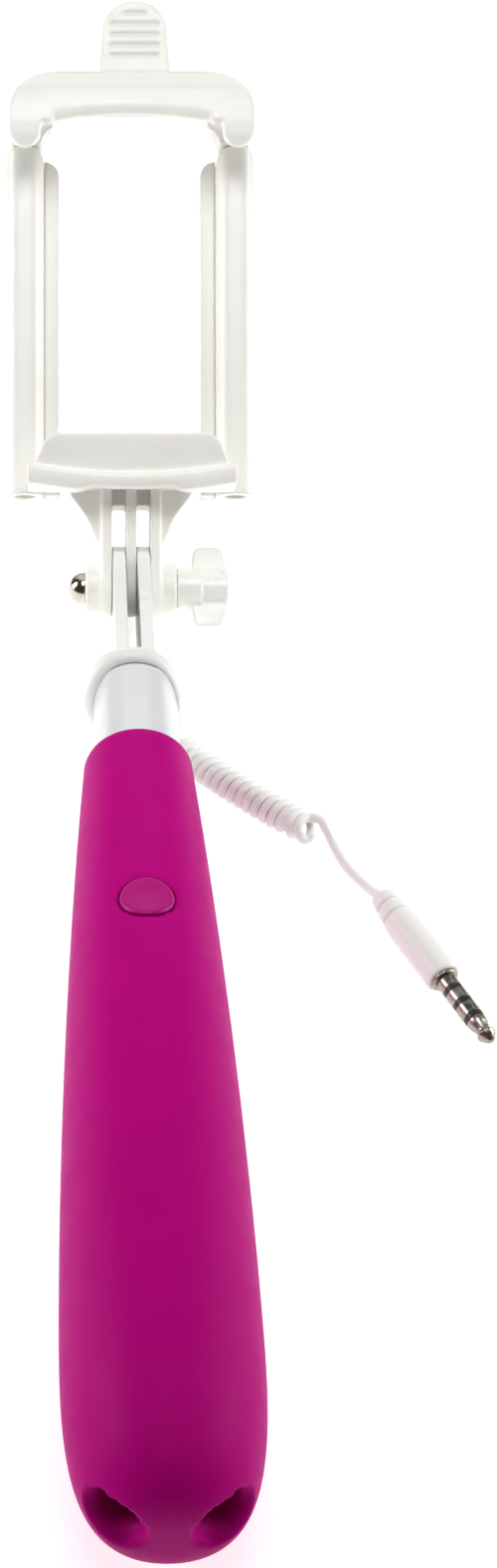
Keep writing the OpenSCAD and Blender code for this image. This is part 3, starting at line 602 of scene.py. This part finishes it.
def grip_mesh():
    """The skin with its strap dimples, the button's pocket and the flat that it rests on."""
    skin = mesh_from("grip", lathe(grip_shell(), 160))
    button = (0, BUTTON_AT)
    cutters = [torus(STRAP_RING_R, STRAP_R, STRAP_MIDDLE),
               cylinder(BUTTON_R + BUTTON_GAP, POCKET_FLOOR, 20, button),
               cylinder(BUTTON_LIP_R + BUTTON_GAP, POCKET_FLOOR, POCKET_STEP, button)]
    for side in (-1, 1):
        mouth = (side * MOUTH_X, MOUTH_AT, MOUTH_UP)
        slant, turned = -side * math.radians(MOUTH_SLANT), side * math.radians(MOUTH_TURN)
        cutters.append(capsule(mouth, MOUTH_HALF, MOUTH_R, slant, turned))
    below = block((-0.2, -0.25, -0.1), (0.2, 0.35, 0))
    below.transform(STICK.inverted())
    skin = remeshed(cut(skin, cutters + [below]), 0.45, 4)
    # the smooth outside is put back exactly where the softening has moved it
    points = points_of(skin)
    along = points[:, 1]
    r = np.hypot(points[:, 0], points[:, 2])
    want = np.array([grip_r(min(max(s, 0), GRIP_LEN)) for s in along])
    height = np.array([(STICK @ Vector(p)).z for p in points])
    outside = (np.abs(r - want) < 0.22) & (along > 1.2) & (along < GRIP_LEN - 1.6) & (height > 0.0004)
    from_button = np.hypot(points[:, 0], along - BUTTON_AT) - BUTTON_R
    fade = np.clip((from_button - 0.7) / 0.6, 0, 1)
    share = outside.astype(float) * np.where(points[:, 2] > 5, fade, 1)
    scale = 1 + share * (want / np.maximum(r, 1e-6) - 1)
    points[:, 0] *= scale
    points[:, 2] *= scale
    points[:, 1] = np.maximum(along, BUTT_INSET)
    skin.vertices.foreach_set("co", points.ravel())
    skin.transform(STICK)
    return skin


add("soft_grip", grip_mesh(), "handle", "grip_rubber", "grip_skin")

# ---------- button ----------

BUTTON_PROUD = 0.35
LIP_LOW, LIP_HIGH = 9.75, 10.35
DISH_DEPTH, DISH_R = 0.16, BUTTON_R - 0.7
EDGE_DROP, EDGE_WIDTH, EDGE_POWER = 0.3, 0.6, 2.4


def button_mesh():
    """A disc that follows the grip, with a rounded edge and a shallow finger dish, on its lip."""
    bm = bmesh.new()
    turns, steps = 96, 24
    rings = []
    for k in range(steps + 1):
        r = BUTTON_R * math.sin(k / steps * math.pi / 2)
        edge = EDGE_DROP * max(0, (r - (BUTTON_R - EDGE_WIDTH)) / EDGE_WIDTH) ** EDGE_POWER
        dish = DISH_DEPTH * (1 - (r / DISH_R) ** 2) ** 2 if r < DISH_R else 0
        loop = []
        for j in range(turns if k else 1):
            a = 2 * math.pi * j / turns
            x, s = r * math.cos(a), BUTTON_AT + r * math.sin(a)
            z = math.sqrt((grip_r(s) + BUTTON_PROUD) ** 2 - x * x) - edge - dish
            loop.append(bm.verts.new((x, s, z)))
        rings.append(loop)
    lip = [(BUTTON_R, LIP_HIGH + 0.15), (BUTTON_R + 0.1, LIP_HIGH), (BUTTON_LIP_R - 0.1, LIP_HIGH),
           (BUTTON_LIP_R, LIP_HIGH - 0.1), (BUTTON_LIP_R, LIP_LOW + 0.1), (BUTTON_LIP_R - 0.1, LIP_LOW)]
    angles = [2 * math.pi * j / turns for j in range(turns)]
    for r, z in lip:
        rings.append([bm.verts.new((r * math.cos(a), BUTTON_AT + r * math.sin(a), z)) for a in angles])
    rings.append([bm.verts.new((0, BUTTON_AT, LIP_LOW))])
    fill(bm, rings, turns)
    return mesh_from("shutter_key", bm, STICK, 35)


add("shutter_key", button_mesh(), "button", "button_rubber", "shutter_button")

# ---------- neck and head ----------

TUBE_R = 6.5
SLEEVE_FROM, NECK_END = 121, 165.3
FLANGE_R, FLANGE_SHIFT = 9.4, -0.5
FLOOR_R, FLOOR_FROM, FLANGE_TO = 7.95, 165.5, 168.4
LEAD_HOLE_R = 3.4
MOUTH_LOW, MOUTH_RISE, MOUTH_ROUND = 161.65, 3.55, 2.3
LUG_R, LUG_LEN = 1.6, 6.8
LUG_MIDDLE = (7.4, 165.1, -6.3)

neck_profile = [(TUBE_R, SLEEVE_FROM), (NECK_R, SLEEVE_FROM), (NECK_R, 164.6), (7.74, 165.0), (7.55, 165.22),
                (7.3, NECK_END), (TUBE_R, NECK_END), (TUBE_R, SLEEVE_FROM)]
neck_mesh = mesh_from("glossy_neck", lathe(neck_profile, 160), STICK)
add("glossy_neck", neck_mesh, "handle", "neck_white", "neck_sleeve")


def bell():
    """The head's base: a collar round the neck with a slanted mouth, its floor, and the cord's lug."""
    turns = 120
    bm = lathe([(LEAD_HOLE_R, FLOOR_FROM), (FLOOR_R, FLOOR_FROM), (FLOOR_R, FLANGE_TO),
                (LEAD_HOLE_R, FLANGE_TO), (LEAD_HOLE_R, FLOOR_FROM)], turns)
    inner = NECK_R - 0.1
    rings = []
    for k in range(turns):
        a = 2 * math.pi * k / turns
        across, up = math.cos(a), math.sin(a)
        mouth = MOUTH_LOW + MOUTH_RISE * ease(up, 0.1, 1)
        # the outside is centred a little to the left of the pole
        shift = FLANGE_SHIFT * across
        rise = FLANGE_R + shift - inner
        section = [(inner, FLANGE_TO)]
        for angle in range(0, 91, 9):
            t = math.radians(angle)
            section.append((inner + rise * math.sin(t), mouth + MOUTH_ROUND - MOUTH_ROUND * math.cos(t)))
        section += [(9.38 + shift, 167.55), (9.05 + shift, FLANGE_TO)]
        rings.append([bm.verts.new((r * across, s, r * up)) for r, s in section])
    fill(bm, rings + rings[:1], len(rings[0]))
    along_pole = Matrix.Translation(LUG_MIDDLE) @ Matrix.Rotation(math.pi / 2, 4, "X")
    bmesh.ops.create_cone(bm, cap_ends=True, segments=40, radius1=LUG_R, radius2=LUG_R, depth=LUG_LEN,
                          matrix=along_pole)
    return mesh_from("bell", bm)


softened("clevis_head", "head_cap", STICK, "head", "head_white", voxel=0.22, rounds=5, extra=bell(),
         trim=block((-12, 150, -12), (12, 168.1, 12)))

# ---------- holder ----------

JAW_SAG, JAW_LEAN, JAW_APRON = 1.7, 0.7, 1.3
ARCH_MIDDLE, ARCH_ENDS, BACK_SLOPE = 0.75, 1.5, 2.4


def jaw_shape(p):
    """The front rim sags in the middle and hangs lower at its corners, and the lip leans out a little."""
    across = np.abs(p[:, 0])
    sag = JAW_SAG * np.clip(1 - (across / 19) ** 2, 0, 1) * ease(p[:, 2], 5, 10)
    sag *= 1 - ease(p[:, 1], 22.8, 25.5)
    lean_out = JAW_LEAN * ease(p[:, 1], 22.5, 29) * ease(p[:, 2], 7.5, 9)
    apron = JAW_APRON * ease(across, 7, 11) * ease(p[:, 2], 2.5, 5) * (1 - ease(p[:, 1], 19.3, 21.5))
    p[:, 1] -= sag + apron
    p[:, 2] += lean_out
    return p


def bracket_shape(p):
    """The bar's front edge hangs in a shallow arch, and its back edge slopes up behind it."""
    across = np.abs(p[:, 0])
    front = ease(p[:, 2], 8.6, 9.6) * (1 - ease(p[:, 1], 91.8, 96.5)) * (1 - ease(across, 15.5, 18.5))
    back = (1 - ease(p[:, 2], -6.5, 2)) * (1 - ease(p[:, 1], 95.4, 99.5)) * (1 - ease(across, 14.5, 17.5))
    p[:, 1] += BACK_SLOPE * back - (ARCH_MIDDLE + ARCH_ENDS * (across / 16) ** 2) * front
    return p


softened("clamp_jaw", "lower_jaw", HOLDER, "holder", "holder_white", voxel=0.26, rounds=7, shape=jaw_shape)
for side in ("left", "right"):
    softened("rail_" + side, side + "_rail", HOLDER, "holder", "holder_white", voxel=0.3, rounds=3)
softened("cover_plate", "back_cover", HOLDER, "holder", "holder_white", voxel=0.26, rounds=2)
softened("hooked_bracket", "upper_bracket", HOLDER, "slider", "holder_white", voxel=0.28, rounds=14,
         shape=bracket_shape)
softened("butterfly_knob", "wing_knob", HOLDER, "knob", "knob_white", voxel=0.2, rounds=9)

# ---------- acorn nut ----------

DOME_R, DOME_TALL, DOME_FROM = 3.22, 3.23, -9.25
NUT_HALF, NUT_LEN, NUT_AT = 3.5, 2.55, -7.7


def dome():
    """The nut's closed end, turned about the bolt."""
    profile = [(0, -12.48)]
    for angle in range(6, 91, 6):
        t = math.radians(angle)
        profile.append((DOME_R * math.sin(t), DOME_FROM - DOME_TALL * math.cos(t)))
    profile += [(DOME_R, -9.02), (3.2, -8.98), (0, -8.98)]
    return mesh_from("acorn", lathe(profile, 96), Matrix.Rotation(-math.pi / 2, 4, "Z"), 50)


def nut_mesh():
    """A hexagon with eased edges, and its dome."""
    closed_end = dome()
    bm = bmesh.new()
    corner = NUT_HALF / math.cos(math.pi / 6)
    across = Matrix.Rotation(math.pi / 2, 4, "Y") @ Matrix.Rotation(math.radians(30), 4, "Z")
    bmesh.ops.create_cone(bm, cap_ends=True, segments=6, radius1=corner, radius2=corner, depth=NUT_LEN,
                          matrix=Matrix.Translation((NUT_AT, 0, 0)) @ across)
    bmesh.ops.bevel(bm, geom=bm.edges[:], offset=0.25, segments=2, affect="EDGES")
    bm.from_mesh(closed_end)
    return mesh_from("dome_nut", bm, HOLDER, 35)


add("dome_nut", nut_mesh(), "holder", "nut_metal", "acorn_nut")

# ---------- floor and light ----------

floor_mesh = bpy.data.meshes.new("floor")
floor_mesh.from_pydata([(-4, -4, 0), (4, -4, 0), (4, 6, 0), (-4, 6, 0)], [], [(0, 1, 2, 3)])
floor = bpy.data.objects.new("floor", floor_mesh)
bpy.context.scene.collection.objects.link(floor)
floor_mat, _, floor_shader = new_material("floor", (0.95, 0.95, 0.95), 0.8)
floor_shader.inputs["Emission Color"].default_value = (1, 1, 1, 1)
floor_shader.inputs["Emission Strength"].default_value = 0.55
floor_mesh.materials.append(floor_mat)
floor.location.z = -0.0002


def area_light(name, location, target, size, power, opening=180):
    """A rectangular light that faces its target. A narrower opening keeps its light off the surroundings."""
    data = bpy.data.lights.new(name, "AREA")
    data.shape = "RECTANGLE"
    data.size, data.size_y = size
    data.energy = power
    data.spread = math.radians(opening)
    obj = bpy.data.objects.new(name, data)
    bpy.context.scene.collection.objects.link(obj)
    obj.location = location
    obj.rotation_euler = (Vector(target) - Vector(location)).to_track_quat("-Z", "Y").to_euler()


for side in (-1, 1):
    area_light("side", (side * 0.6, 0.14, 0.28), (0, -0.01, 0.02), (0.25, 0.45), 1.1, opening=110)
area_light("front", (0, 0.02, 0.5), (0, 0.14, 0.03), (0.25, 0.25), 0.22, opening=70)
area_light("back", (0, 0.55, 0.35), (0, 0.3, 0), (0.6, 0.2), 0.7)

world = bpy.data.worlds.new("studio")
world.use_nodes = True
background = world.node_tree.nodes["Background"]
background.inputs["Color"].default_value = (1, 1, 1, 1)
background.inputs["Strength"].default_value = 0.06
bpy.context.scene.world = world
bpy.context.scene.view_settings.view_transform = "Standard"
